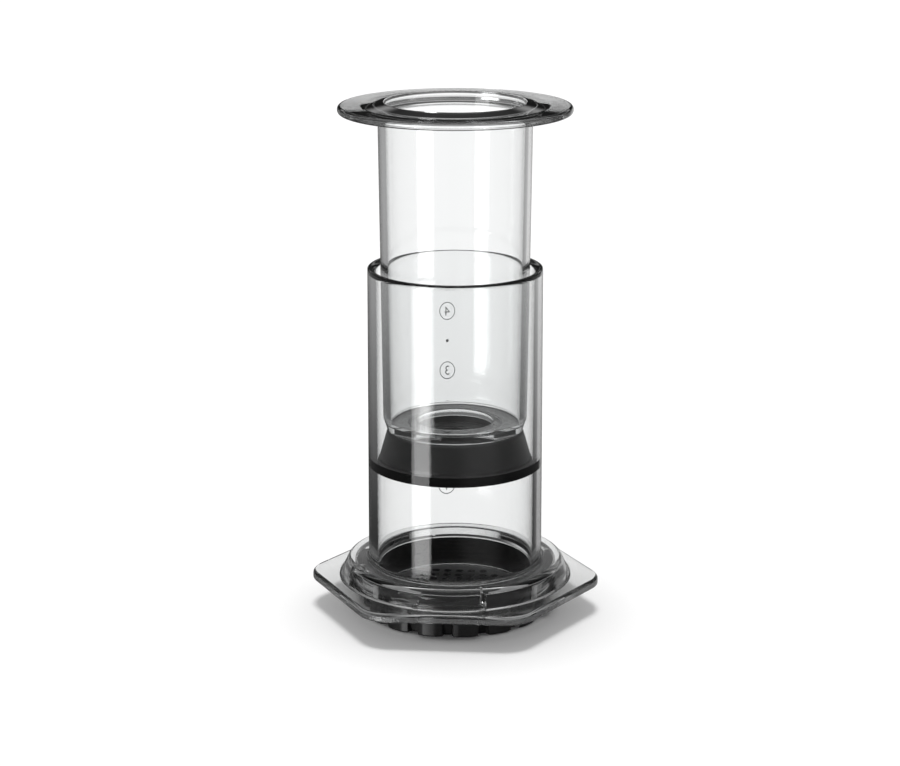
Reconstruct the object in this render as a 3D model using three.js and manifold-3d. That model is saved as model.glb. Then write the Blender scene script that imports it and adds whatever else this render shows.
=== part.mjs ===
// A hand-pressed coffee maker: a clear chamber, a clear hollow plunger with a rubber
// seal snapped on its foot, and a black strainer cap that twists into the chamber's collar.
// Millimetres, +Z up. The origin is the centre of the strainer cap's foot.

import * as THREE from 'three';
import { mergeGeometries, mergeVertices } from 'three/addons/utils/BufferGeometryUtils.js';
import Module from 'manifold-3d';

const wasm = await Module();
wasm.setup();

// Clearances and facets
const gap = 0.3; // between pieces that touch, turn or slide
const overrun = 1; // how far a cutter passes the face that it cuts
const bite = 0.5; // how far a joined shape reaches into its carrier
const facets = 48; // round the axis
const roundSteps = 2; // along a rounded edge
const cornerSteps = 6; // along a corner of the six-sided flange
const holeFacets = 8; // round a strainer hole

// Chamber tube
const boreRadius = 28.9;
const chamberWall = 3.3; // at the foot
const chamberDraft = 0.3; // the outside is this much slimmer at the rim
const chamberLength = 124.4;
const rimOuterRound = 1.2;
const rimInnerRound = 0.6;

// Chamber collar, which covers the cap, and its six-sided flange
const flangeLift = 4.2; // from the chamber's foot up to the flange
const flangeThickness = 3.3;
const flangeReach = 5.2; // from the collar's foot out to a flat side
const flangeCornerRound = 13;
const flangeEdgeRound = 0.6;
const collarWall = 2.3; // at the top
const collarFlare = 3.3; // how much wider the collar is at its foot
const collarFillet = 1.2;
const shoulderThickness = 3.3;
const shoulderRound = 2.2;
const shoulderFillet = 1;

// Bayonet: four lugs in the collar hold four lugs of the cap
const lugCount = 4;
const chamberLugThickness = 2.5;
const lugTurn = 1.5; // degrees, from the middle of the flange's front side to a lug's middle
const chamberLugAngle = 38; // degrees
const stopAngle = 1.5; // degrees, the closed end of each chamber lug
const lugEndAngle = 0.5; // degrees, between a cap lug and the stop
const capLugAngle = 34; // degrees
const capLugThickness = 2.8;
const capLugReach = 2.44;
const lugHeadroom = 1.3; // from the cap's lugs up to the groove's ceiling

// Strainer cap
const capWall = 2.06;
const capFloorThickness = 2.1;
const capFootDepth = 3.4; // the floor stands this far above the table
const capFootRing = 1.6; // wall left behind the grip's gaps at the foot
const capHeadroom = 0.7; // from the cap's edge up to the groove's ceiling
const capEdgeRound = 0.5;
const holeRadius = 1.35;
const holePitch = 4.7;
const strainerMargin = 2.9; // from the bore in to the outermost hole centres
const gripTeeth = 16;
const gripDrop = 0.8; // from the flange down to the top of the grip's gaps
const gripGapMouth = 4.3; // width of a gap between two teeth
const gripGapFloor = 2.7;
const gripBevelWidth = 2.2; // along each side of a tooth's face
const gripBevelDepth = 0.5;
const gripDepthShare = 0.54; // of the cap's wall, cut away at the height of the floor

// Seal
const sealHeight = 14.1;
const sealLipHeight = 3.2;
const sealLipStep = 0.7;
const sealLipRound = 0.8;
const sealConeLift = 4.7; // from the seal's foot up to its cone
const sealShoulderRound = 1.2;
const sealBase = 4;
const sealWall = 4.7; // from the bead's groove out to the plunger's foot
const sealCavityInset = 1.4; // the cavity is this much narrower than the bead's groove

// Plunger
const mouthGap = 1.07; // between the bore and the widest end of the plunger
const plungerDraft = 1.33;
const plungerWall = 2.65;
const plungerTaperHeight = 4.8;
const plungerTaperInset = 1.5;
const plungerFootRound = 0.6;
const floorThickness = 3;
const floorFillet = 0.4;
const spigotLength = 5.3;
const neckWall = 3;
const beadReach = 3;
const beadThickness = 2.2;
const beadRound = 0.6;
const palmFlangeThickness = 2.8;
const palmFlangeDraft = 0.4; // the flange is this much thicker at the tube
const palmFlangeReach = 14.36;
const palmFlangeRound = 1.2;
const palmFlangeFillet = 1.6;
const lipHeight = 1.2;
const lipWidth = 3.1;
const lipRound = 0.9;
const lipFillet = 0.2;
const pressedGap = 6.2; // from the rim up to the palm flange when fully pressed

// Where the piston stands in the photograph
const brewHeight = 50.4; // from the cap's floor up to the seal

// Heights above the table that the pieces share
const capFloorTop = capFootDepth + capFloorThickness;
const chamberFoot = capFloorTop + gap;
const flangeFoot = chamberFoot + flangeLift;
const flangeTop = flangeFoot + flangeThickness;
const chamberLugTop = flangeFoot + chamberLugThickness;
const capLugFoot = chamberLugTop + gap;
const capLugTop = capLugFoot + capLugThickness;
const grooveCeiling = capLugTop + lugHeadroom;
const shoulderTop = grooveCeiling + shoulderThickness;
const capTop = grooveCeiling - capHeadroom;
const gripTop = flangeFoot - gripDrop;

// Radii that the pieces share
const chamberRadius = boreRadius + chamberWall;
const capInnerRadius = chamberRadius + gap;
const capRadius = capInnerRadius + capWall;
const capLugRadius = capRadius + capLugReach;
const chamberLugRadius = capRadius + gap;
const pocketRadius = capLugRadius + gap;
const collarTopRadius = pocketRadius + collarWall;
const collarFootRadius = collarTopRadius + collarFlare;
const flangeApothem = collarFootRadius + flangeReach;
const plungerTopRadius = boreRadius - mouthGap;
const plungerRadius = plungerTopRadius - plungerDraft;
const plungerFootRadius = plungerRadius - plungerTaperInset;
const beadRadius = plungerFootRadius - sealWall - gap;
const neckRadius = beadRadius - beadReach;
const spigotBore = neckRadius - neckWall;

// Rounds the corners of a closed outline. A corner is [x, y] or [x, y, radius].
function roundedOutline(corners, steps = roundSteps) {
  const points = [];
  corners.forEach(([x, y, radius = 0], index) => {
    const corner = new THREE.Vector2(x, y);
    if (radius === 0) {
      points.push(corner);
      return;
    }
    const before = new THREE.Vector2(...corners.at(index - 1)).sub(corner).normalize();
    const after = new THREE.Vector2(...corners[(index + 1) % corners.length]).sub(corner).normalize();
    const half = before.angleTo(after) / 2;
    const centre = before.clone().add(after).setLength(radius / Math.sin(half)).add(corner);
    const start = before.setLength(radius / Math.tan(half)).add(corner).sub(centre);
    const end = after.setLength(radius / Math.tan(half)).add(corner).sub(centre);
    const sweep = Math.atan2(start.cross(end), start.dot(end));
    for (let step = 0; step <= steps; step += 1) {
      const origin = new THREE.Vector2();
      points.push(start.clone().rotateAround(origin, (sweep * step) / steps).add(centre));
    }
  });
  return points;
}

// Merges a closed geometry's shared points and turns it into a solid that can be cut.
function toSolid(geometry) {
  geometry.deleteAttribute('normal');
  geometry.deleteAttribute('uv');
  const merged = mergeVertices(geometry);
  const corners = merged.index.array;
  const triangles = [];
  for (let i = 0; i < corners.length; i += 3) {
    const [a, b, c] = corners.slice(i, i + 3);
    if (a !== b && b !== c && c !== a) {
      triangles.push(a, b, c);
    }
  }
  return new wasm.Manifold(new wasm.Mesh({
    numProp: 3,
    vertProperties: new Float32Array(merged.attributes.position.array),
    triVerts: new Uint32Array(triangles),
  }));
}

// Turns a finished solid back into a geometry with flat facets.
function toGeometry(solid) {
  const mesh = solid.getMesh();
  const indexed = new THREE.BufferGeometry();
  indexed.setAttribute('position', new THREE.BufferAttribute(mesh.vertProperties, 3));
  indexed.setIndex(new THREE.BufferAttribute(mesh.triVerts, 1));
  const flat = indexed.toNonIndexed();
  flat.computeVertexNormals();
  return flat;
}

// A ring turned about the axis from a closed outline of [radius, height, rounding] corners.
function ring(corners) {
  const outline = roundedOutline(corners);
  return toSolid(new THREE.LatheGeometry([...outline, outline[0]], facets).rotateX(Math.PI / 2));
}

// A body turned about the axis whose outline starts and ends on the axis.
function turned(corners) {
  return toSolid(new THREE.LatheGeometry(roundedOutline(corners), facets).rotateX(Math.PI / 2));
}

// A plan point at a bearing in degrees, counted from the front (-Y) towards +X.
function bearing(angle, radius) {
  const turn = THREE.MathUtils.degToRad(angle);
  return new THREE.Vector2(radius * Math.sin(turn), -radius * Math.cos(turn));
}

// An upright prism over a plan outline.
function prism(outline, bottom, top) {
  const shape = new THREE.Shape(outline);
  const settings = { depth: top - bottom, bevelEnabled: false };
  return new THREE.ExtrudeGeometry(shape, settings).translate(0, 0, bottom);
}

// The part of a ring that lies between two bearings.
function sector(ringSolid, from, to, reach, bottom, top) {
  const outline = [new THREE.Vector2(), bearing(from, 2 * reach), bearing(to, 2 * reach)];
  return ringSolid.intersect(toSolid(prism(outline, bottom - overrun, top + overrun)));
}

// Copies of a geometry at equal steps round the axis, as one geometry.
function repeatedRound(count, makeGeometry) {
  const copies = [];
  for (let index = 0; index < count; index += 1) {
    copies.push(makeGeometry(index).rotateZ((2 * Math.PI * index) / count));
  }
  return mergeGeometries(copies);
}

// Joins copies of one solid at equal steps round the axis.
function ringOf(count, solid) {
  return toSolid(repeatedRound(count, () => toGeometry(solid)));
}

// Tube, shoulder and collar in one outline, with the groove that takes the cap's wall.
function chamberBody() {
  const rim = chamberFoot + chamberLength;
  const collarBase = collarFootRadius + collarFillet;
  return ring([
    [boreRadius, chamberFoot],
    [chamberRadius, chamberFoot],
    [chamberRadius, grooveCeiling],
    [pocketRadius, grooveCeiling, capEdgeRound],
    [pocketRadius, flangeFoot],
    [collarBase + bite, flangeFoot],
    [collarBase + bite, flangeTop],
    [collarFootRadius, flangeTop, collarFillet],
    [collarTopRadius, shoulderTop, shoulderRound],
    [chamberRadius, shoulderTop, shoulderFillet],
    [chamberRadius - chamberDraft, rim, rimOuterRound],
    [boreRadius, rim, rimInnerRound],
  ]);
}

// Six-sided flange with rounded corners: flat sides at the front and the back.
function hexFlange() {
  const reach = (flangeApothem - flangeEdgeRound) / Math.cos(Math.PI / 6);
  const corners = [];
  for (let side = 0; side < 6; side += 1) {
    corners.push([...bearing(30 + 60 * side, reach), flangeCornerRound - flangeEdgeRound]);
  }
  const shape = new THREE.Shape(roundedOutline(corners, cornerSteps));
  const settings = {
    depth: flangeThickness - 2 * flangeEdgeRound,
    bevelThickness: flangeEdgeRound,
    bevelSize: flangeEdgeRound,
    bevelSegments: 2,
  };
  const plate = new THREE.ExtrudeGeometry(shape, settings).translate(0, 0, flangeFoot + flangeEdgeRound);
  const opening = turned([
    [0, flangeFoot - overrun],
    [collarFootRadius, flangeFoot - overrun],
    [collarFootRadius, flangeTop + overrun],
    [0, flangeTop + overrun],
  ]);
  return toSolid(plate).subtract(opening);
}

// One inward lug of the collar: a ledge under the cap's lug and a stop at its end.
function chamberLug() {
  const stopTop = grooveCeiling + bite;
  const inwardRing = (top) => ring([
    [chamberLugRadius, flangeFoot],
    [pocketRadius + bite, flangeFoot],
    [pocketRadius + bite, top],
    [chamberLugRadius, top],
  ]);
  const start = lugTurn - chamberLugAngle / 2;
  const end = lugTurn + chamberLugAngle / 2;
  const ledge = sector(inwardRing(chamberLugTop), start, end, collarFootRadius, flangeFoot, chamberLugTop);
  const stop = sector(inwardRing(stopTop), end - stopAngle, end, collarFootRadius, flangeFoot, stopTop);
  return ledge.add(stop);
}

function chamberGeometry() {
  return toGeometry(chamberBody().add(hexFlange()).add(ringOf(lugCount, chamberLug())));
}

// Cap without its holes: a floor on a foot ring, and a wall that goes up inside the collar.
const gripSlope = (gripDepthShare * capWall) / (gripTop - capFloorTop);
const gripFootDepth = gripSlope * gripTop;
const capFootInnerRadius = capRadius - gripFootDepth - capFootRing;

function capBody() {
  return turned([
    [0, capFootDepth],
    [capFootInnerRadius, capFootDepth, capEdgeRound],
    [capFootInnerRadius, 0],
    [capRadius, 0, capEdgeRound],
    [capRadius, capTop, capEdgeRound],
    [capInnerRadius, capTop, capEdgeRound],
    [capInnerRadius, capFloorTop],
    [0, capFloorTop],
  ]);
}

// One outward lug of the cap, which ends just short of the collar's stop.
function capLug() {
  const section = ring([
    [capRadius - bite, capLugFoot],
    [capLugRadius, capLugFoot],
    [capLugRadius, capLugTop],
    [capRadius - bite, capLugTop],
  ]);
  const end = lugTurn + chamberLugAngle / 2 - stopAngle - lugEndAngle;
  return sector(section, end - capLugAngle, end, capLugRadius, capLugFoot, capLugTop);
}

// Gaps between the grip's teeth: flared towards the outside and deepest at the foot, with
// a flat bevel along each side of a tooth's face.
function gripGaps() {
  const depth = ring([
    [capRadius - gripFootDepth - gripSlope * overrun, -overrun],
    [capRadius + overrun, -overrun],
    [capRadius + overrun, gripTop],
    [capRadius, gripTop],
  ]);
  const flare = (gripGapMouth - gripGapFloor) / (2 * gripFootDepth);
  const inner = capRadius - gripFootDepth - overrun;
  const outer = capRadius + 2 * overrun;
  const halfWidthAt = (radius) => gripGapMouth / 2 + flare * (radius - capRadius);
  const bevelRadius = capRadius - gripBevelDepth;
  const bevelFoot = new THREE.Vector2(halfWidthAt(bevelRadius), -bevelRadius);
  const bevelReach = bevelFoot.x + gripBevelWidth;
  const bevelEdge = new THREE.Vector2(bevelReach, -Math.sqrt(capRadius ** 2 - bevelReach ** 2));
  const bevelEnd = bevelEdge.clone().sub(bevelFoot).multiplyScalar(2).add(bevelFoot);
  const side = [
    new THREE.Vector2(bevelEnd.x, -outer),
    bevelEnd,
    bevelFoot,
    new THREE.Vector2(halfWidthAt(inner), -inner),
  ];
  const otherSide = side.map(({ x, y }) => new THREE.Vector2(-x, y)).reverse();
  const outline = [...side, ...otherSide];
  const gaps = repeatedRound(gripTeeth, () => prism(outline, -2 * overrun, gripTop + overrun));
  return depth.intersect(toSolid(gaps));
}

// A square grid of holes over the part of the floor that lies inside the bore.
function strainerHoles() {
  const limit = boreRadius - strainerMargin;
  const count = Math.floor(limit / holePitch);
  const depth = capFloorThickness + 2 * overrun;
  const holes = [];
  for (let row = -count; row <= count; row += 1) {
    for (let column = -count; column <= count; column += 1) {
      if (Math.hypot(row, column) * holePitch <= limit) {
        const hole = new THREE.CylinderGeometry(holeRadius, holeRadius, depth, holeFacets);
        hole.rotateX(Math.PI / 2);
        hole.translate(column * holePitch, row * holePitch, capFootDepth + capFloorThickness / 2);
        holes.push(hole);
      }
    }
  }
  return toSolid(mergeGeometries(holes));
}

function capGeometry() {
  const body = capBody().subtract(gripGaps()).subtract(strainerHoles());
  return toGeometry(body.add(ringOf(lugCount, capLug())));
}

// Heights in the piston's own frame, from the seal's foot
const plungerFloorFoot = sealHeight + gap;
const plungerFloorTop = plungerFloorFoot + floorThickness;
const spigotFoot = plungerFloorFoot - spigotLength;
const beadTop = spigotFoot + beadThickness;
const taperTop = plungerFloorFoot + plungerTaperHeight;
const palmFlangeFoot = chamberLength + pressedGap;
const palmFlangeTop = palmFlangeFoot + palmFlangeThickness;
const lipTop = palmFlangeTop + lipHeight;

// A hollow cup of rubber: a lip that wipes the bore, a cone, and a groove for the bead.
function sealGeometry() {
  const lipRadius = boreRadius - gap;
  const grooveRadius = beadRadius + gap;
  const cavityRadius = grooveRadius - sealCavityInset;
  return toGeometry(turned([
    [0, 0],
    [lipRadius, 0, sealLipRound],
    [lipRadius, sealLipHeight, sealLipRound],
    [lipRadius - sealLipStep, sealLipHeight + sealLipStep / 2],
    [lipRadius - sealLipStep, sealConeLift],
    [plungerFootRadius, sealHeight, sealShoulderRound],
    [neckRadius + gap, sealHeight],
    [neckRadius + gap, beadTop + gap],
    [grooveRadius, beadTop + gap],
    [grooveRadius, spigotFoot - gap],
    [cavityRadius, spigotFoot - gap],
    [cavityRadius, sealBase],
    [0, sealBase],
  ]));
}

// Inside of the plunger's wall, from its floor up to the mouth.
const wellFootRadius = plungerRadius - plungerWall;
const wellMouthRadius = plungerTopRadius - plungerWall;

// One outline: spigot, floor, tapered foot, drafted tube, palm flange and raised mouth.
function plungerGeometry() {
  const palmRadius = plungerTopRadius + palmFlangeReach;
  const lipRadius = wellMouthRadius + lipWidth;
  return toGeometry(ring([
    [spigotBore, spigotFoot],
    [beadRadius, spigotFoot, beadRound],
    [beadRadius, beadTop, beadRound],
    [neckRadius, beadTop],
    [neckRadius, plungerFloorFoot],
    [plungerFootRadius, plungerFloorFoot, plungerFootRound],
    [plungerRadius, taperTop],
    [plungerTopRadius, palmFlangeFoot - palmFlangeDraft, palmFlangeFillet],
    [palmRadius, palmFlangeFoot, palmFlangeRound],
    [palmRadius, palmFlangeTop, palmFlangeRound],
    [lipRadius, palmFlangeTop, lipFillet],
    [lipRadius, lipTop, lipRound],
    [wellMouthRadius, lipTop, lipRound],
    [wellFootRadius, plungerFloorTop, floorFillet],
    [spigotBore, plungerFloorTop],
  ]));
}

const clearPlastic = new THREE.MeshStandardMaterial({
  color: 0xe3e6e6, roughness: 0.06, metalness: 0, transparent: true, opacity: 0.35,
});
const blackRubber = new THREE.MeshStandardMaterial({ color: 0x1b1b1c, roughness: 0.55, metalness: 0 });
const blackPlastic = new THREE.MeshStandardMaterial({ color: 0x242526, roughness: 0.4, metalness: 0 });

function namedPiece(name, geometry, material) {
  const mesh = new THREE.Mesh(geometry, material);
  mesh.name = name;
  return mesh;
}

const piston = new THREE.Group();
piston.position.z = capFloorTop + brewHeight;
piston.add(
  namedPiece('plunger', plungerGeometry(), clearPlastic.clone()),
  namedPiece('plunger_seal', sealGeometry(), blackRubber),
);

const press = new THREE.Group();
press.add(
  namedPiece('chamber', chamberGeometry(), clearPlastic),
  namedPiece('filter_cap', capGeometry(), blackPlastic),
  piston,
);

export default press;
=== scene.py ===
"""A hand-pressed coffee maker in clear plastic, standing on its black strainer cap."""
import math

import bmesh
import bpy
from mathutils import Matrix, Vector


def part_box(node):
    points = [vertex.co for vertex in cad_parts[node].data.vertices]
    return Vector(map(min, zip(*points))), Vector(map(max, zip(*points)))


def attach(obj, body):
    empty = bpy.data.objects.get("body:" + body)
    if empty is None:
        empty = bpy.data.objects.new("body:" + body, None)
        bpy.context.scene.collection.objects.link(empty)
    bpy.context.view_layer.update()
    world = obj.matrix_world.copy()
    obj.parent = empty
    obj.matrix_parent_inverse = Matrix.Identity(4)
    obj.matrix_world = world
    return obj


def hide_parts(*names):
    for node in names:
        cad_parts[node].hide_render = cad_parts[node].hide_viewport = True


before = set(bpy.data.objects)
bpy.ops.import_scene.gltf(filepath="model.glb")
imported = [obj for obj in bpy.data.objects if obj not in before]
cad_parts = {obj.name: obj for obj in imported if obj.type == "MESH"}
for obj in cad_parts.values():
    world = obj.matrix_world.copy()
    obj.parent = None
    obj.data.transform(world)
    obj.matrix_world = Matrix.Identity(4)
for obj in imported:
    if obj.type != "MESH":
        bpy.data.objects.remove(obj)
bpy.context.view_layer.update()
scene = bpy.context.scene

# Sizes in millimetres, turned to metres where a mesh is made
MM = 0.001
GAP = 0.3

# Least step in an outline, so that no two of its corners meet, and the largest share of a step
# that its rounding takes
LEAST_STEP = 0.03
ROUND_SHARE = 0.4


def node_span(node):
    """Lowest height, highest height and largest reach along X of a node, in millimetres."""
    low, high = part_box(node)
    return low.z / MM, high.z / MM, high.x / MM


CHAMBER_FOOT, CHAMBER_RIM, _ = node_span("chamber")
CAP_FOOT, CAP_TOP, CAP_LUG_RADIUS = node_span("filter_cap")
SEAL_FOOT, SEAL_TOP, SEAL_LIP_RADIUS = node_span("plunger_seal")
SPIGOT_FOOT, MOUTH_TOP, PALM_RADIUS = node_span("plunger")

# Chamber
BORE_RADIUS = SEAL_LIP_RADIUS + GAP
CHAMBER_WALL = 3.3
CHAMBER_DRAFT = 0.3
CHAMBER_RADIUS = BORE_RADIUS + CHAMBER_WALL
FLANGE_FOOT = CHAMBER_FOOT + 4.2
FLANGE_TOP = FLANGE_FOOT + 3.3
FLANGE_CORNER_ROUND = 13
FLANGE_HALF_SIDE_ANGLE = 30
LEDGE_TOP = FLANGE_FOOT + 2.5
GROOVE_CEILING = CAP_TOP + 0.7
SHOULDER_TOP = GROOVE_CEILING + 3.3
COLLAR_WALL = 2.3
COLLAR_TOP_RADIUS = CAP_LUG_RADIUS + GAP + COLLAR_WALL
COLLAR_FOOT_RADIUS = COLLAR_TOP_RADIUS + 3.3
POCKET_RADIUS = CAP_LUG_RADIUS + GAP
FLANGE_APOTHEM = COLLAR_FOOT_RADIUS + 5.2
FLANGE_EDGE_FROM = COLLAR_FOOT_RADIUS + 3
LUG_TURN = 1.5
LUG_ANGLE = 38
STOP_ANGLE = 1.5
LUG_COUNT = 4
LEDGE_ROUND = 0.35

# Strainer cap
CAP_INNER_RADIUS = CHAMBER_RADIUS + GAP
CAP_RADIUS = CAP_INNER_RADIUS + 2.06
LEDGE_RADIUS = CAP_RADIUS + GAP
STOP_RADIUS = LEDGE_RADIUS + 0.05
CAP_FLOOR_TOP = CHAMBER_FOOT - GAP
CAP_FLOOR_FOOT = CAP_FLOOR_TOP - 2.1
CAP_LUG_FOOT = LEDGE_TOP + GAP
CAP_LUG_TOP = CAP_LUG_FOOT + 2.8
CAP_LUG_ANGLE = 34
CAP_LUG_ROUND = 0.4
CAP_LUG_PLAY = 0.5
CAP_DRAFT = 0.4
GRIP_TOP = FLANGE_FOOT - 0.8
GRIP_TEETH = 16
GRIP_GAP_MOUTH = 4.3
GRIP_GAP_FLOOR = 2.7
GRIP_FLOOR_DEPTH = 1.11
GRIP_BEVEL_WIDTH = 2.2
GRIP_BEVEL_DEPTH = 0.5
GRIP_LEAST_DEPTH = 0.01
GRIP_KNEE_LIFT = 0.9
FOOT_RING = 1.6
HOLE_RADIUS = 1.35
HOLE_SINK = 0.25
HOLE_SIDES = 20
CUTTER_EXCESS = 1
HOLE_PITCH = 4.7
STRAINER_RADIUS = BORE_RADIUS - 2.9

# Plunger and seal
PLUNGER_TOP_RADIUS = BORE_RADIUS - 1.07
PLUNGER_RADIUS = PLUNGER_TOP_RADIUS - 1.33
PLUNGER_FOOT_RADIUS = PLUNGER_RADIUS - 1.5
PLUNGER_WALL = 2.65
PLUNGER_FLOOR_FOOT = SEAL_TOP + GAP
PLUNGER_FLOOR_TOP = PLUNGER_FLOOR_FOOT + 3
TAPER_TOP = PLUNGER_FLOOR_FOOT + 4.8
BEAD_TOP = SPIGOT_FOOT + 2.2
BEAD_RADIUS = PLUNGER_FOOT_RADIUS - 4.7 - GAP
NECK_RADIUS = BEAD_RADIUS - 3
SPIGOT_BORE = NECK_RADIUS - 3
MOUTH_LIP_HEIGHT = 1.2
PALM_TOP = MOUTH_TOP - MOUTH_LIP_HEIGHT
PALM_FOOT = PALM_TOP - 2.8
MOUTH_SLOPE_WIDTH = 8.8
MOUTH_EDGE_WIDTH = 1.2
PALM_DRAFT = 0.4
SEAL_LIP_HEIGHT = 3.2
SEAL_CONE_LIFT = 4.7
SEAL_SAG = 0.4
SEAL_FOOT_BEVEL = 2.4
SEAL_LIP_RISE = 0.05
SEAL_LIP_CHAMFER = 0.35
SEAL_CONE_INSET = 0.7
SEAL_FLOOR_TOP = SEAL_FOOT + 4
SEAL_FLOOR_RING = 1.4
SEAL_TOUCH_RADIUS = BORE_RADIUS + 0.03

# Round parts: angles in degrees
STEPS_ROUND = 240
STEP_CLEARANCE = 0.3
ARC_STEPS = 6
RAMP_ANGLE = 0.7
NORMAL_NUDGE = 0.02
ON_AXIS = 1e-6


def bearing(angle, radius):
    """Plan point at a bearing in degrees, counted from the front (-Y) towards +X."""
    turn = math.radians(angle)
    return radius * math.sin(turn), -radius * math.cos(turn)


def rounded(corners, closed=True):
    """Points and tangents along (radius, height, rounding) corners, with rounded ones as arcs."""
    points = []
    count = len(corners)
    for index, corner in enumerate(corners):
        here = Vector(corner[:2])
        before = (Vector(corners[index - 1][:2]) - here).normalized()
        after = (Vector(corners[(index + 1) % count][:2]) - here).normalized()
        if not closed and index in (0, count - 1):
            points.append((here, after if index == 0 else -before))
            continue
        radius = corner[2]
        half = before.angle(after) / 2
        centre = here + (before + after).normalized() * radius / math.sin(half)
        side = math.copysign(1, before.x * after.y - before.y * after.x)
        first = math.atan2(before.y, before.x) - side * math.pi / 2
        sweep = side * (math.pi - 2 * half)
        for step in range(ARC_STEPS + 1):
            turn = first - sweep * step / ARC_STEPS
            spoke = Vector((math.cos(turn), math.sin(turn)))
            points.append((centre + spoke * radius, Vector((spoke.y, -spoke.x)) * side))
    return points


def new_piece(name, mesh, material, sharp_angle=0):
    """A smooth-shaded object for a finished mesh, with sharp edges only if an angle is given."""
    mesh.materials.append(material)
    mesh.polygons.foreach_set("use_smooth", [True] * len(mesh.polygons))
    if sharp_angle:
        mesh.set_sharp_from_angle(angle=math.radians(sharp_angle))
    piece = bpy.data.objects.new(name, mesh)
    scene.collection.objects.link(piece)
    return piece


def around(angle, radius, height):
    """Point at a bearing, a distance from the axis and a height."""
    return Vector((*bearing(angle, radius), height))


def swept_mesh(name, section, angles, closed=True, exact_normals=True):
    """Joins the outlines that section(angle) gives at each bearing into one closed skin.

    An open outline starts and ends on the axis. Each point's normal comes from the outline's
    own tangent and from the outlines just beside it, so that flat faces shade flat."""
    nudge = NORMAL_NUDGE
    grid = []
    normals = []
    for angle in angles:
        outline = rounded(section(angle), closed)
        beside = [rounded(section(angle + side * nudge), closed) for side in (-1, 1)]
        column = []
        slopes = []
        for (point, tangent), (low, _), (high, _) in zip(outline, *beside):
            column.append(around(angle, point.x, point.y))
            along = around(angle + nudge, high.x, high.y) - around(angle - nudge, low.x, low.y)
            if point.x < ON_AXIS:
                slopes.append(Vector((0, 0, -1 if tangent.x > 0 else 1)))
            else:
                slopes.append(along.normalized().cross(around(angle, tangent.x, tangent.y)))
        grid.append(column)
        normals.append(slopes)
    size = len(grid[0])
    mesh = bpy.data.meshes.new(name)
    vertices = []
    vertex_normals = []
    numbers = []
    for column, slopes in zip(grid, normals):
        row = []
        for k, (place, slope) in enumerate(zip(column, slopes)):
            if not closed and k in (0, size - 1) and numbers:
                row.append(numbers[0][k])
                continue
            row.append(len(vertices))
            vertices.append(place * MM)
            vertex_normals.append(slope.normalized())
        numbers.append(row)
    faces = []
    for near, far in zip(numbers, numbers[1:] + numbers[:1]):
        for k in range(size if closed else size - 1):
            corners = [near[k], far[k], far[(k + 1) % size], near[(k + 1) % size]]
            faces.append(list(dict.fromkeys(corners)))
    mesh.from_pydata(vertices, [], faces)
    mesh.validate()
    mesh.polygons.foreach_set("use_smooth", [True] * len(mesh.polygons))
    if exact_normals:
        mesh.normals_split_custom_set_from_vertices(vertex_normals)
    return mesh


def turn_between(a, b):
    """The smaller angle between two bearings, in degrees."""
    return abs((a - b + 180) % 360 - 180)


def round_angles(extra=()):
    """Bearings of a full turn, with extra ones where a feature starts or ends."""
    even = [360 * k / STEPS_ROUND for k in range(STEPS_ROUND)]
    spread = [a for a in even if all(turn_between(a, b) > STEP_CLEARANCE for b in extra)]
    return sorted({round(a % 360, 4) for a in spread + list(extra)})


def inside_span(angle, start, end):
    """1 between two bearings and 0 outside them, with a short ramp at each end."""
    middle = (start + end) / 2
    off = turn_between(angle, middle)
    return min(1, max(0, ((end - start) / 2 + RAMP_ANGLE / 2 - off) / RAMP_ANGLE))


def span_edges(start, end):
    """The bearings of the corners of inside_span's ramps."""
    half = RAMP_ANGLE / 2
    return [start - half, start + half, end - half, end + half]


def mix(a, b, share):
    return a + (b - a) * share


def hexagon_radius(angle):
    """Radius of the six-sided flange at a bearing: straight sides and rounded corners."""
    half = FLANGE_HALF_SIDE_ANGLE
    off = abs((angle + half) % (2 * half) - half)
    centre = (FLANGE_APOTHEM - FLANGE_CORNER_ROUND) / math.cos(math.radians(half))
    flat_end = math.atan2(centre / 2, FLANGE_APOTHEM)
    if math.radians(off) <= flat_end:
        return FLANGE_APOTHEM / math.cos(math.radians(off))
    turn = math.radians(half - off)
    aside = centre * math.sin(turn)
    return centre * math.cos(turn) + math.sqrt(FLANGE_CORNER_ROUND**2 - aside**2)


# The outlines below are corners of (radius, height, rounding), joined around the axis.

# Chamber: tube, shoulder, collar with its ledges, and mug flange, as one moulding
LUG_STARTS = [360 * k / LUG_COUNT + LUG_TURN - LUG_ANGLE / 2 for k in range(LUG_COUNT)]


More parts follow.
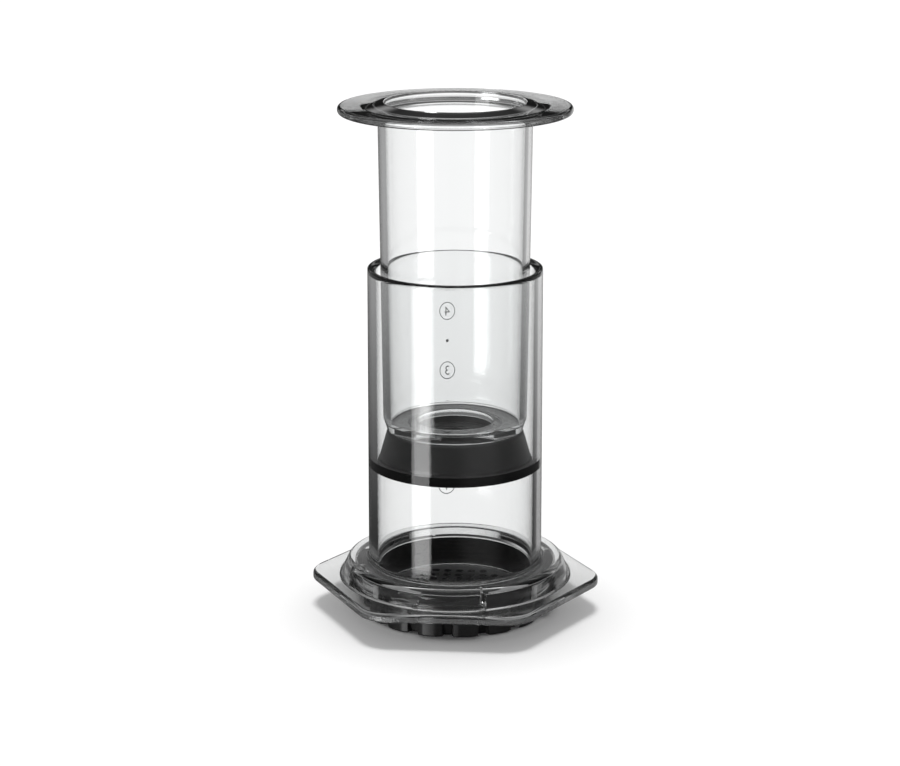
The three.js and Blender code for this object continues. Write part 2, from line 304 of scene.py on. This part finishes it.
def chamber_section(angle):
    lug = max(inside_span(angle, s, s + LUG_ANGLE) for s in LUG_STARTS)
    stop = max(inside_span(angle, s + LUG_ANGLE - STOP_ANGLE, s + LUG_ANGLE) for s in LUG_STARTS)
    wall = mix(POCKET_RADIUS, STOP_RADIUS, stop)
    ledge = mix(POCKET_RADIUS - LEAST_STEP, LEDGE_RADIUS, lug)
    edge_round = min(LEDGE_ROUND, (wall - ledge) * ROUND_SHARE)
    reach = hexagon_radius(angle)
    return [
        (BORE_RADIUS, CHAMBER_FOOT, 0.3),
        (CHAMBER_RADIUS, CHAMBER_FOOT, 0.3),
        (CHAMBER_RADIUS, GROOVE_CEILING, 0.6),
        (wall, GROOVE_CEILING, 0.6),
        (wall, LEDGE_TOP, edge_round * 0.5),
        (ledge, LEDGE_TOP, edge_round * 0.5),
        (ledge, FLANGE_FOOT, 0.35),
        (reach, FLANGE_FOOT, 0.7),
        (reach, FLANGE_TOP, 1.4),
        (COLLAR_FOOT_RADIUS, FLANGE_TOP, 1.2),
        (COLLAR_TOP_RADIUS, SHOULDER_TOP, 2.2),
        (CHAMBER_RADIUS, SHOULDER_TOP, 1.0),
        (CHAMBER_RADIUS - CHAMBER_DRAFT, CHAMBER_RIM, 0.6),
        (BORE_RADIUS, CHAMBER_RIM, 2.2),
    ]


def chamber_mesh():
    edges = []
    for start in LUG_STARTS:
        edges += span_edges(start, start + LUG_ANGLE)
        edges += span_edges(start + LUG_ANGLE - STOP_ANGLE, start + LUG_ANGLE)[:2]
    return swept_mesh("chamber_skin", chamber_section, round_angles(edges))


# Plunger: drafted tube, palm flange that slopes up to the mouth, floor and spigot
def plunger_section(_angle):
    well_foot = PLUNGER_RADIUS - PLUNGER_WALL
    well_mouth = PLUNGER_TOP_RADIUS - PLUNGER_WALL
    return [
        (SPIGOT_BORE, SPIGOT_FOOT, 0.4),
        (BEAD_RADIUS, SPIGOT_FOOT, 0.6),
        (BEAD_RADIUS, BEAD_TOP, 0.6),
        (NECK_RADIUS, BEAD_TOP, 0.3),
        (NECK_RADIUS, PLUNGER_FLOOR_FOOT, 0.4),
        (PLUNGER_FOOT_RADIUS, PLUNGER_FLOOR_FOOT, 0.6),
        (PLUNGER_RADIUS, TAPER_TOP, 0.6),
        (PLUNGER_TOP_RADIUS, PALM_FOOT - PALM_DRAFT, 1.6),
        (PALM_RADIUS, PALM_FOOT, 1.3),
        (PALM_RADIUS, PALM_TOP, 1.2),
        (well_mouth + MOUTH_SLOPE_WIDTH, PALM_TOP, 4),
        (well_mouth + MOUTH_EDGE_WIDTH, MOUTH_TOP, 0.2),
        (well_mouth, MOUTH_TOP, 0.9),
        (well_foot, PLUNGER_FLOOR_TOP, 0.4),
        (SPIGOT_BORE, PLUNGER_FLOOR_TOP, 0.4),
    ]


# Seal: a rubber cup with a wiping lip, held by the plunger's bead
def seal_section(_angle):
    groove = BEAD_RADIUS + GAP
    cone = SEAL_LIP_RADIUS - SEAL_CONE_INSET
    return [
        (0, SEAL_FOOT - SEAL_SAG),
        (SEAL_LIP_RADIUS - SEAL_FOOT_BEVEL, SEAL_FOOT - SEAL_SAG, 1.2),
        (SEAL_TOUCH_RADIUS, SEAL_FOOT + SEAL_LIP_RISE - SEAL_SAG, 0.1),
        (SEAL_TOUCH_RADIUS, SEAL_FOOT + SEAL_LIP_HEIGHT, 0.3),
        (cone, SEAL_FOOT + SEAL_LIP_HEIGHT + SEAL_LIP_CHAMFER, 0.2),
        (cone, SEAL_FOOT + SEAL_CONE_LIFT, 1.2),
        (PLUNGER_FOOT_RADIUS, SEAL_TOP, 1.2),
        (NECK_RADIUS + GAP, SEAL_TOP, 0.3),
        (NECK_RADIUS + GAP, BEAD_TOP + GAP, 0.2),
        (groove, BEAD_TOP + GAP, 0.2),
        (groove, SPIGOT_FOOT - GAP, 0.2),
        (groove - SEAL_FLOOR_RING, SPIGOT_FOOT - GAP, 0.3),
        (groove - SEAL_FLOOR_RING, SEAL_FLOOR_TOP, 1.2),
        (0, SEAL_FLOOR_TOP),
    ]


# Strainer cap: floor, wall, four lugs and sixteen grip teeth
GRIP_SLOPE = GRIP_FLOOR_DEPTH / (GRIP_TOP - CAP_FLOOR_TOP)
GRIP_FOOT_DEPTH = GRIP_SLOPE * GRIP_TOP
CAP_LUG_END = LUG_TURN + LUG_ANGLE / 2 - STOP_ANGLE - CAP_LUG_PLAY
CAP_LUG_ENDS = [360 * k / LUG_COUNT + CAP_LUG_END for k in range(LUG_COUNT)]
GRIP_PITCH = 360 / GRIP_TEETH


def degrees_across(width, radius):
    return math.degrees(2 * math.asin(width / 2 / radius))


FLOOR_HALF = degrees_across(GRIP_GAP_FLOOR, CAP_RADIUS - GRIP_FOOT_DEPTH) / 2
MOUTH_HALF = degrees_across(GRIP_GAP_MOUTH, CAP_RADIUS) / 2
BEVEL_END = MOUTH_HALF + degrees_across(GRIP_BEVEL_WIDTH, CAP_RADIUS)


def grip_depth(angle):
    """How deep the grip is cut at a bearing: a gap with flared sides, then a tooth's bevel."""
    off = abs((angle + GRIP_PITCH / 2) % GRIP_PITCH - GRIP_PITCH / 2)
    if off < MOUTH_HALF:
        share = min(1, (MOUTH_HALF - off) / (MOUTH_HALF - FLOOR_HALF))
        return mix(GRIP_BEVEL_DEPTH, GRIP_FOOT_DEPTH, share)
    bevel = GRIP_BEVEL_DEPTH * (BEVEL_END - off) / (BEVEL_END - MOUTH_HALF)
    return max(GRIP_LEAST_DEPTH, bevel)


def cap_section(angle):
    lug = max(inside_span(angle, e - CAP_LUG_ANGLE, e) for e in CAP_LUG_ENDS)
    depth = grip_depth(angle)
    knee = max(CAP_FOOT + GRIP_KNEE_LIFT, GRIP_TOP - depth / GRIP_SLOPE)
    knee_depth = GRIP_SLOPE * (GRIP_TOP - knee) if depth > GRIP_BEVEL_DEPTH else depth
    foot_inner = CAP_RADIUS - GRIP_FOOT_DEPTH - FOOT_RING
    lug_radius = mix(CAP_RADIUS + LEAST_STEP, CAP_LUG_RADIUS, lug)
    edge = min(CAP_LUG_ROUND, (lug_radius - CAP_RADIUS) * ROUND_SHARE)
    return [
        (0, CAP_FLOOR_FOOT),
        (foot_inner, CAP_FLOOR_FOOT, 0.5),
        (foot_inner, CAP_FOOT, 0.3),
        (CAP_RADIUS - depth, CAP_FOOT, 0.45),
        (CAP_RADIUS - min(depth, knee_depth), knee, 0.2),
        (CAP_RADIUS, GRIP_TOP, 0.15),
        (CAP_RADIUS, CAP_LUG_FOOT, edge * 0.5),
        (lug_radius, CAP_LUG_FOOT, edge),
        (lug_radius, CAP_LUG_TOP, edge),
        (CAP_RADIUS, CAP_LUG_TOP, edge * 0.5),
        (CAP_RADIUS, CAP_TOP, 0.25),
        (CAP_INNER_RADIUS + CAP_DRAFT, CAP_TOP, 0.25),
        (CAP_INNER_RADIUS, CAP_FLOOR_TOP, 0.15),
        (0, CAP_FLOOR_TOP),
    ]


def hole_places():
    """Centres of the strainer's square grid of holes."""
    reach = int(STRAINER_RADIUS / HOLE_PITCH)
    steps = range(-reach, reach + 1)
    return [
        (column * HOLE_PITCH, row * HOLE_PITCH)
        for row in steps
        for column in steps
        if math.hypot(row, column) * HOLE_PITCH <= STRAINER_RADIUS
    ]


def hole_cutter():
    """Round cutters with a small countersink on the floor's top."""
    mesh = bpy.data.meshes.new("strainer_cutter")
    shape = bmesh.new()
    levels = [
        (HOLE_RADIUS, CAP_FLOOR_FOOT - CUTTER_EXCESS),
        (HOLE_RADIUS, CAP_FLOOR_TOP - HOLE_SINK),
        (HOLE_RADIUS + HOLE_SINK, CAP_FLOOR_TOP),
        (HOLE_RADIUS + HOLE_SINK, CAP_FLOOR_TOP + CUTTER_EXCESS),
    ]
    turns = [2 * math.pi * k / HOLE_SIDES for k in range(HOLE_SIDES)]
    for x, y in hole_places():
        rings = []
        for radius, height in levels:
            places = [(x + radius * math.cos(t), y + radius * math.sin(t), height) for t in turns]
            rings.append([shape.verts.new([c * MM for c in place]) for place in places])
        shape.faces.new(rings[0][::-1])
        shape.faces.new(rings[-1])
        for low, high in zip(rings, rings[1:]):
            for k in range(HOLE_SIDES):
                after = (k + 1) % HOLE_SIDES
                shape.faces.new([low[k], low[after], high[after], high[k]])
    shape.to_mesh(mesh)
    shape.free()
    return mesh


def final_mesh(thing):
    """A new mesh of an object as it is after its modifiers."""
    bpy.context.view_layer.update()
    depsgraph = bpy.context.evaluated_depsgraph_get()
    return bpy.data.meshes.new_from_object(thing.evaluated_get(depsgraph))


def cut(mesh, cutter_mesh):
    """The mesh with the cutter taken away from it."""
    body = bpy.data.objects.new("cut_body", mesh)
    cutter = bpy.data.objects.new("cut_tool", cutter_mesh)
    scene.collection.objects.link(body)
    scene.collection.objects.link(cutter)
    modifier = body.modifiers.new("holes", "BOOLEAN")
    modifier.operation = "DIFFERENCE"
    modifier.solver = "EXACT"
    modifier.object = cutter
    result = final_mesh(body)
    for thing in (body, cutter):
        bpy.data.objects.remove(thing)
    return result


def cap_mesh():
    edges = []
    for end in CAP_LUG_ENDS:
        edges += span_edges(end - CAP_LUG_ANGLE, end)
    for k in range(GRIP_TEETH):
        for off in (FLOOR_HALF, MOUTH_HALF, BEVEL_END):
            edges += [k * GRIP_PITCH - off, k * GRIP_PITCH + off]
    angles = round_angles(edges)
    blank = swept_mesh("cap_blank", cap_section, angles, closed=False, exact_normals=False)
    return cut(blank, hole_cutter())


# Materials
class Shader:
    """A small helper that adds and joins nodes of one material or world."""

    def __init__(self, owner):
        owner.use_nodes = True
        self.tree = owner.node_tree
        self.tree.nodes.clear()

    def add(self, kind, **settings):
        node = self.tree.nodes.new(kind)
        for key, value in settings.items():
            setattr(node, key, value)
        return node

    def link(self, source, target):
        self.tree.links.new(source, target)

    def math(self, operation, a, b=0.0):
        node = self.add("ShaderNodeMath", operation=operation)
        for socket, value in zip(node.inputs, (a, b)):
            if isinstance(value, (int, float)):
                socket.default_value = value
            else:
                self.link(value, socket)
        return node.outputs[0]

    def ramp(self, value, from_low, from_high, to_low, to_high):
        """A smooth step of value between two levels."""
        node = self.add("ShaderNodeMapRange", interpolation_type="SMOOTHSTEP")
        self.link(value, node.inputs["Value"])
        names = ("From Min", "From Max", "To Min", "To Max")
        for name, level in zip(names, (from_low, from_high, to_low, to_high)):
            node.inputs[name].default_value = level
        return node.outputs[0]

    def noise(self, scale, detail=2.0):
        """Soft noise of the given fineness, fixed to the object."""
        place = self.add("ShaderNodeTexCoord").outputs["Object"]
        node = self.add("ShaderNodeTexNoise")
        node.inputs["Scale"].default_value = scale
        node.inputs["Detail"].default_value = detail
        self.link(place, node.inputs["Vector"])
        return node.outputs[0]

    def bump(self, height, strength, distance):
        node = self.add("ShaderNodeBump")
        node.inputs["Strength"].default_value = strength
        node.inputs["Distance"].default_value = distance
        self.link(height, node.inputs["Height"])
        return node.outputs[0]

    def output(self, shader, kind="ShaderNodeOutputMaterial"):
        self.link(shader, self.add(kind).inputs["Surface"])


CLEAR_COLOUR = (0.985, 0.99, 0.99, 1)
CLEAR_REFRACTION = 1.54
GRAINED_CLARITY = 0.88
SMEAR_FINENESS = 90
SMEAR_BAND = (0.45, 0.75)
SMEAR_ROUGHNESS = 0.03
WAVE_FINENESS = 55
WAVE_STRENGTH = 0.08
WAVE_DEPTH = 0.0002
PASSING_FACE_ON = 0.58
PASSING_EDGE_ON = 0.9
MOTTLE_FINENESS = 140
MOTTLE_DARK = (0.8, 0.8, 0.82)
MOTTLE_PALE = (1.3, 1.3, 1.32)
PATCH_FINENESS = 60
PATCH_BAND = (0.3, 0.7)
GRAIN_STRENGTH = 0.25


def grey(level):
    return (level, level, level, 1)


def clear_plastic(name, grain=None):
    """Clear moulded copolyester with faint smears and a slight wave in its faces.

    It casts a light shadow, because light for other surfaces passes straight through it. A
    grain of (fineness, depth in metres) gives it a rough, speckled and slightly milky face."""
    material = bpy.data.materials.new(name)
    nodes = Shader(material)
    body = nodes.add("ShaderNodeBsdfPrincipled")
    body.inputs["Base Color"].default_value = CLEAR_COLOUR
    body.inputs["Transmission Weight"].default_value = GRAINED_CLARITY if grain else 1
    body.inputs["IOR"].default_value = CLEAR_REFRACTION
    smears = nodes.ramp(nodes.noise(SMEAR_FINENESS), *SMEAR_BAND, 0.0, SMEAR_ROUGHNESS)
    nodes.link(smears, body.inputs["Roughness"])
    if grain:
        fineness, depth = grain
        nodes.link(nodes.bump(nodes.noise(fineness), 1.0, depth), body.inputs["Normal"])
    else:
        waves = nodes.bump(nodes.noise(WAVE_FINENESS, 1.0), WAVE_STRENGTH, WAVE_DEPTH)
        nodes.link(waves, body.inputs["Normal"])
    passing = nodes.add("ShaderNodeBsdfTransparent")
    facing = nodes.add("ShaderNodeLayerWeight").outputs["Facing"]
    tint = nodes.add("ShaderNodeMix", data_type="RGBA")
    tint.inputs["A"].default_value = grey(PASSING_FACE_ON)
    tint.inputs["B"].default_value = grey(PASSING_EDGE_ON)
    nodes.link(nodes.ramp(facing, 0.5, 1.0, 0.0, 1.0), tint.inputs["Factor"])
    nodes.link(tint.outputs["Result"], passing.inputs["Color"])
    path = nodes.add("ShaderNodeLightPath").outputs
    for_others = nodes.math("MAXIMUM", path["Is Shadow Ray"], path["Is Diffuse Ray"])
    both = nodes.add("ShaderNodeMixShader")
    nodes.link(for_others, both.inputs[0])
    nodes.link(body.outputs[0], both.inputs[1])
    nodes.link(passing.outputs[0], both.inputs[2])
    nodes.output(both.outputs[0])
    return material


def dull_surface(name, shade, roughness, grain, shine=0.5):
    """Black plastic, rubber or ink, mottled a little, with a fine grain.

    Its roughness varies between two levels, and its grain is (fineness, depth in metres)."""
    material = bpy.data.materials.new(name)
    nodes = Shader(material)
    body = nodes.add("ShaderNodeBsdfPrincipled")
    colour = nodes.add("ShaderNodeMix", data_type="RGBA")
    colour.inputs["A"].default_value = (*(shade * share for share in MOTTLE_DARK), 1)
    colour.inputs["B"].default_value = (*(shade * share for share in MOTTLE_PALE), 1)
    nodes.link(nodes.noise(MOTTLE_FINENESS, 3.0), colour.inputs["Factor"])
    nodes.link(colour.outputs["Result"], body.inputs["Base Color"])
    patches = nodes.ramp(nodes.noise(PATCH_FINENESS, 3.0), *PATCH_BAND, *roughness)
    nodes.link(patches, body.inputs["Roughness"])
    fineness, depth = grain
    bumps = nodes.bump(nodes.noise(fineness, 4.0), GRAIN_STRENGTH, depth)
    nodes.link(bumps, body.inputs["Normal"])
    body.inputs["Specular IOR Level"].default_value = shine
    nodes.output(body.outputs[0])
    return material


clear_chamber = clear_plastic("clear_chamber_plastic")
clear_plunger = clear_plastic("clear_plunger_plastic")
grained_edge = clear_plastic("grained_flange_edge", (1100, 0.0002))

SATIN = (0.3, 0.42)
RUBBER_GRAIN = (2600, 0.00002)
black_rubber = dull_surface("black_seal_rubber", 0.036, SATIN, RUBBER_GRAIN)
# A copy of the seal rubber for the band that touches the bore. Its low shine stands for the
# contact with the plastic, which takes away reflections there. Its much darker colour is painted
# shade of that contact band.
rubber_painted_dark_on_bore = dull_surface("seal_rubber_painted_contact_shade", 0.003, SATIN, RUBBER_GRAIN, shine=0.02)
black_plastic = dull_surface("black_cap_plastic", 0.01, SATIN, (1800, 0.00003))
# A copy of the cap's black plastic for the strainer floor's top. It is rougher, which is a real
# satin finish. Its much lighter colour is painted light falling on the upward faces.
satin_floor_painted_light = dull_surface("satin_strainer_floor_painted_light", 0.085, (0.35, 0.5), (1400, 0.00004))
ink = dull_surface("grey_mark_ink", 0.42, (0.5, 0.6), (4000, 0.00001))


# A face counts as upright or level by the vertical share of its normal
UPRIGHT_BELOW = 0.3
LEVEL_ABOVE = 0.99
BORE_MARGIN = 0.05
FLOOR_MARGIN = 0.1


def second_material(piece, material, chosen):
    """Gives a second material to the faces for which chosen(radius, height, normal) is true."""
    piece.data.materials.append(material)
    for face in piece.data.polygons:
        centre = face.center / MM
        if chosen(centre.xy.length, centre.z, face.normal):
            face.material_index = 1


def on_flange_edge(radius, _height, normal):
    return radius > FLANGE_EDGE_FROM and abs(normal.z) < UPRIGHT_BELOW


def pressed_on_bore(radius, _height, _normal):
    return radius > BORE_RADIUS - BORE_MARGIN


def on_strainer_floor(_radius, height, normal):
    return normal.z > LEVEL_ABOVE and abs(height - CAP_FLOOR_TOP) < FLOOR_MARGIN


chamber = new_piece("clear_chamber", chamber_mesh(), clear_chamber)
second_material(chamber, grained_edge, on_flange_edge)
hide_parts("chamber")
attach(chamber, "chamber")

plunger_skin = swept_mesh("plunger_skin", plunger_section, round_angles())
plunger = new_piece("clear_plunger", plunger_skin, clear_plunger)
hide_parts("plunger")
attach(plunger, "plunger")

seal_skin = swept_mesh("seal_skin", seal_section, round_angles(), closed=False)
seal = new_piece("rubber_seal", seal_skin, black_rubber)
# The faces pressed on the bore get the darker rubber copy, which is painted shade.
second_material(seal, rubber_painted_dark_on_bore, pressed_on_bore)
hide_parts("plunger_seal")
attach(seal, "seal")

cap = new_piece("strainer_cap", cap_mesh(), black_plastic, sharp_angle=40)
# The strainer floor's upward faces get the lighter copy, which is painted light.
second_material(cap, satin_floor_painted_light, on_strainer_floor)
flat_shading = cap.modifiers.new("flat_faces_shade_flat", "WEIGHTED_NORMAL")
flat_shading.keep_sharp = True
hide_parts("filter_cap")
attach(cap, "cap")


# Brew marks on the back of the chamber: circled numerals with a dot between each pair
MARK_BEARING = 190.9
MARK_HEIGHTS = (37.6, 60.7, 83.9, 107.0)
MARK_RING_OUTER = 3.45
MARK_RING_WIDTH = 0.3
MARK_DOT_RADIUS = 0.62
NUMERAL_HEIGHT = 3.6
NUMERAL_THINNING = 0.03
DIGIT_SHARE = 0.7
INK_LIFT = 0.02
INK_THICKNESS = 0.05


def numeral_outline(text, height):
    """Flat triangles of a numeral of the given height, centred on the origin."""
    curve = bpy.data.curves.new("numeral", "FONT")
    curve.body = text
    curve.size = height / DIGIT_SHARE
    curve.offset = -NUMERAL_THINNING
    holder = bpy.data.objects.new("numeral", curve)
    scene.collection.objects.link(holder)
    flat = final_mesh(holder)
    bpy.data.objects.remove(holder)
    xs = [v.co.x for v in flat.vertices]
    ys = [v.co.y for v in flat.vertices]
    middle = Vector(((min(xs) + max(xs)) / 2, (min(ys) + max(ys)) / 2, 0))
    points = [v.co - middle for v in flat.vertices]
    faces = [list(p.vertices) for p in flat.polygons]
    bpy.data.meshes.remove(flat)
    return points, faces


def disc_outline(outer, inner, sides=48):
    """A flat ring, or a disc if inner is 0."""
    turns = [2 * math.pi * k / sides for k in range(sides)]
    points = [Vector((outer * math.cos(t), outer * math.sin(t), 0)) for t in turns]
    if inner == 0:
        return points, [list(range(sides))]
    points += [Vector((inner * math.cos(t), inner * math.sin(t), 0)) for t in turns]
    faces = [[k, (k + 1) % sides, sides + (k + 1) % sides, sides + k] for k in range(sides)]
    return points, faces


def print_on_wall(shape, outline, height):
    """Lays a flat outline on the chamber's outside at the marks' bearing, facing outwards."""
    points, faces = outline
    share = (height - SHOULDER_TOP) / (CHAMBER_RIM - SHOULDER_TOP)
    radius = CHAMBER_RADIUS - CHAMBER_DRAFT * share + INK_LIFT
    layers = []
    for lift in (0, INK_THICKNESS):
        layer = []
        for p in points:
            angle = MARK_BEARING + math.degrees(p.x / radius)
            place = (*bearing(angle, radius + lift), height + p.y)
            layer.append(shape.verts.new([c * MM for c in place]))
        layers.append(layer)
    for face in faces:
        shape.faces.new([layers[1][k] for k in face])
        shape.faces.new([layers[0][k] for k in reversed(face)])
    edges = {}
    for face in faces:
        for a, b in zip(face, face[1:] + face[:1]):
            edges[frozenset((a, b))] = None if frozenset((a, b)) in edges else (a, b)
    for a, b in filter(None, edges.values()):
        shape.faces.new([layers[0][a], layers[0][b], layers[1][b], layers[1][a]])


def marks_mesh():
    mesh = bpy.data.meshes.new("brew_marks")
    shape = bmesh.new()
    for number, height in enumerate(MARK_HEIGHTS, start=1):
        print_on_wall(shape, numeral_outline(str(number), NUMERAL_HEIGHT), height)
        ring = disc_outline(MARK_RING_OUTER, MARK_RING_OUTER - MARK_RING_WIDTH)
        print_on_wall(shape, ring, height)
    for low, high in zip(MARK_HEIGHTS, MARK_HEIGHTS[1:]):
        print_on_wall(shape, disc_outline(MARK_DOT_RADIUS, 0, sides=24), (low + high) / 2)
    bmesh.ops.recalc_face_normals(shape, faces=shape.faces)
    shape.to_mesh(mesh)
    shape.free()
    return mesh


marks = new_piece("brew_marks", marks_mesh(), ink, sharp_angle=30)
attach(marks, "chamber")


# Camera at the photograph's place: bearing in degrees, distances from the axis in millimetres,
# pitch and yaw in radians
CAMERA_BEARING = 5.0
CAMERA_DISTANCE = 864.83
CAMERA_SIDE = -6.13
CAMERA_HEIGHT = 320.8
CAMERA_PITCH = 0.2646
CAMERA_YAW = 0.0049
FOCAL_PIXELS = 2437.5
PICTURE_WIDTH = 900
SENSOR_WIDTH = 36

lens = bpy.data.cameras.new("photo_camera")
lens.sensor_width = SENSOR_WIDTH
lens.lens = FOCAL_PIXELS / PICTURE_WIDTH * SENSOR_WIDTH
lens.clip_start = 0.01
lens.clip_end = 50
camera = bpy.data.objects.new("photo_camera", lens)
turn = math.radians(CAMERA_BEARING)
camera.location = (
    (CAMERA_SIDE * math.cos(turn) + CAMERA_DISTANCE * math.sin(turn)) * MM,
    (CAMERA_SIDE * math.sin(turn) - CAMERA_DISTANCE * math.cos(turn)) * MM,
    CAMERA_HEIGHT * MM,
)
camera.rotation_euler = (math.pi / 2 - CAMERA_PITCH, 0, turn - CAMERA_YAW)
scene.collection.objects.link(camera)
scene.camera = camera


# Studio: white behind the press, and a dim room with soft boxes in its reflections. Heights are
# those of a ray's direction, from -1 (down) to 1 (up). Each soft box is given by its bearing,
# half width and softness in degrees, its lowest and highest height, and its brightness.
SOFT_BOXES = (
    (CAMERA_BEARING - 47, 12.5, 1.5, -0.7, 0.1, 4.0),
    (CAMERA_BEARING + 158, 8, 5, -0.7, 0.1, 0.6),
    (CAMERA_BEARING + 35, 25, 15, -0.7, 0.1, 0.15),
    (CAMERA_BEARING + 180, 60, 20, 0.27, 0.31, 1.4),
)
DARK_FLAG = (CAMERA_BEARING + 186, 10, 3, -0.7, 0.1, 0.9)
BOX_FADE = 0.05
LOW_BAND = (-0.34, -0.18)
HORIZON_BAND = (-0.05, 0.1)
SKY_BAND = (0.2, 0.7)
OVERHEAD_BAND = (0.8, 0.86)
GROUND_LEVEL = 0.003
LOW_LEVEL = 0.42
ROOM_LEVEL = 0.03
SKY_LEVEL = 0.35
OVERHEAD_LEVEL = 1.0
AMBIENT_LEVEL = 0.39
FLOOR_SHADE = 0.97
FLOOR_RADIUS = 6
FLOOR_DROP = 0.0002
CLEAR_BOUNCES = 24
GLOSSY_BOUNCES = 10


def studio_world():
    """Lights mirrored rays by the dim room, the rest evenly, and shows white behind the press."""
    world = bpy.data.worlds.new("studio")
    scene.world = world
    nodes = Shader(world)
    path = nodes.add("ShaderNodeLightPath").outputs
    direction = nodes.add("ShaderNodeSeparateXYZ")
    nodes.link(nodes.add("ShaderNodeTexCoord").outputs["Generated"], direction.inputs[0])
    x, y, z = direction.outputs
    angle = nodes.math("ARCTAN2", x, nodes.math("MULTIPLY", y, -1))

    def box(centre, half_width, soft, low, high, level):
        """A soft box at a bearing in degrees, between two heights of the direction."""
        off = nodes.math("SUBTRACT", angle, math.radians(centre))
        wrapped = nodes.math("WRAP", off, math.pi)
        wrapped.node.inputs[2].default_value = -math.pi
        inner, outer = math.radians(half_width - soft), math.radians(half_width + soft)
        across = nodes.ramp(nodes.math("ABSOLUTE", wrapped), inner, outer, 1, 0)
        above = nodes.ramp(z, low - BOX_FADE, low + BOX_FADE, 0, 1)
        below = nodes.ramp(z, high - BOX_FADE, high + BOX_FADE, 1, 0)
        lit = nodes.math("MULTIPLY", across, level)
        return nodes.math("MULTIPLY", lit, nodes.math("MULTIPLY", above, below))

    light = nodes.ramp(z, *LOW_BAND, GROUND_LEVEL, LOW_LEVEL)
    light = nodes.math("MULTIPLY", light, nodes.ramp(z, *HORIZON_BAND, 1, 0))
    light = nodes.math("MULTIPLY", light, nodes.math("SUBTRACT", 1, box(*DARK_FLAG)))
    light = nodes.math("ADD", light, nodes.ramp(z, *SKY_BAND, ROOM_LEVEL, SKY_LEVEL))
    for settings in SOFT_BOXES:
        light = nodes.math("ADD", light, box(*settings))
    light = nodes.math("ADD", light, nodes.ramp(z, *OVERHEAD_BAND, 0, OVERHEAD_LEVEL))
    seen = nodes.math("MAXIMUM", path["Is Camera Ray"], path["Is Transmission Ray"])
    plain = nodes.ramp(seen, 0, 1, AMBIENT_LEVEL, 1)
    reflected = nodes.math("GREATER_THAN", path["Glossy Depth"], 0.5)
    strength = nodes.add("ShaderNodeMix", data_type="FLOAT")
    nodes.link(reflected, strength.inputs["Factor"])
    nodes.link(plain, strength.inputs["A"])
    nodes.link(light, strength.inputs["B"])
    glow = nodes.add("ShaderNodeBackground")
    nodes.link(strength.outputs["Result"], glow.inputs["Strength"])
    nodes.output(glow.outputs[0], "ShaderNodeOutputWorld")


def floor_material():
    """White paper, which reflections don't see."""
    material = bpy.data.materials.new("white_floor")
    nodes = Shader(material)
    paper = nodes.add("ShaderNodeBsdfDiffuse")
    paper.inputs["Color"].default_value = grey(FLOOR_SHADE)
    path = nodes.add("ShaderNodeLightPath").outputs
    both = nodes.add("ShaderNodeMixShader")
    nodes.link(nodes.math("GREATER_THAN", path["Glossy Depth"], 0.5), both.inputs[0])
    nodes.link(paper.outputs[0], both.inputs[1])
    nodes.link(nodes.add("ShaderNodeBsdfTransparent").outputs[0], both.inputs[2])
    nodes.output(both.outputs[0])
    return material


def studio_floor():
    mesh = bpy.data.meshes.new("studio_floor")
    shape = bmesh.new()
    bmesh.ops.create_circle(shape, cap_ends=True, segments=96, radius=FLOOR_RADIUS)
    bmesh.ops.translate(shape, verts=shape.verts, vec=(0, 0, -FLOOR_DROP))
    shape.to_mesh(mesh)
    shape.free()
    mesh.materials.append(floor_material())
    floor = bpy.data.objects.new("studio_floor", mesh)
    scene.collection.objects.link(floor)


def soft_sun(name, direction, spread, strength):
    """A far, wide lamp that lights everything alike and gives soft shadows."""
    lamp = bpy.data.lights.new(name, "SUN")
    lamp.angle = math.radians(spread)
    lamp.energy = strength
    holder = bpy.data.objects.new(name, lamp)
    holder.rotation_euler = (-Vector(direction)).to_track_quat("-Z", "Y").to_euler()
    holder.visible_camera = False
    holder.visible_glossy = False
    holder.visible_transmission = False
    scene.collection.objects.link(holder)


studio_world()
studio_floor()
soft_sun("overhead_lamp", direction=(-0.01, 0.04, 1), spread=20, strength=2.5)

scene.view_settings.view_transform = "Standard"
scene.cycles.max_bounces = CLEAR_BOUNCES
scene.cycles.transmission_bounces = CLEAR_BOUNCES
scene.cycles.glossy_bounces = GLOSSY_BOUNCES
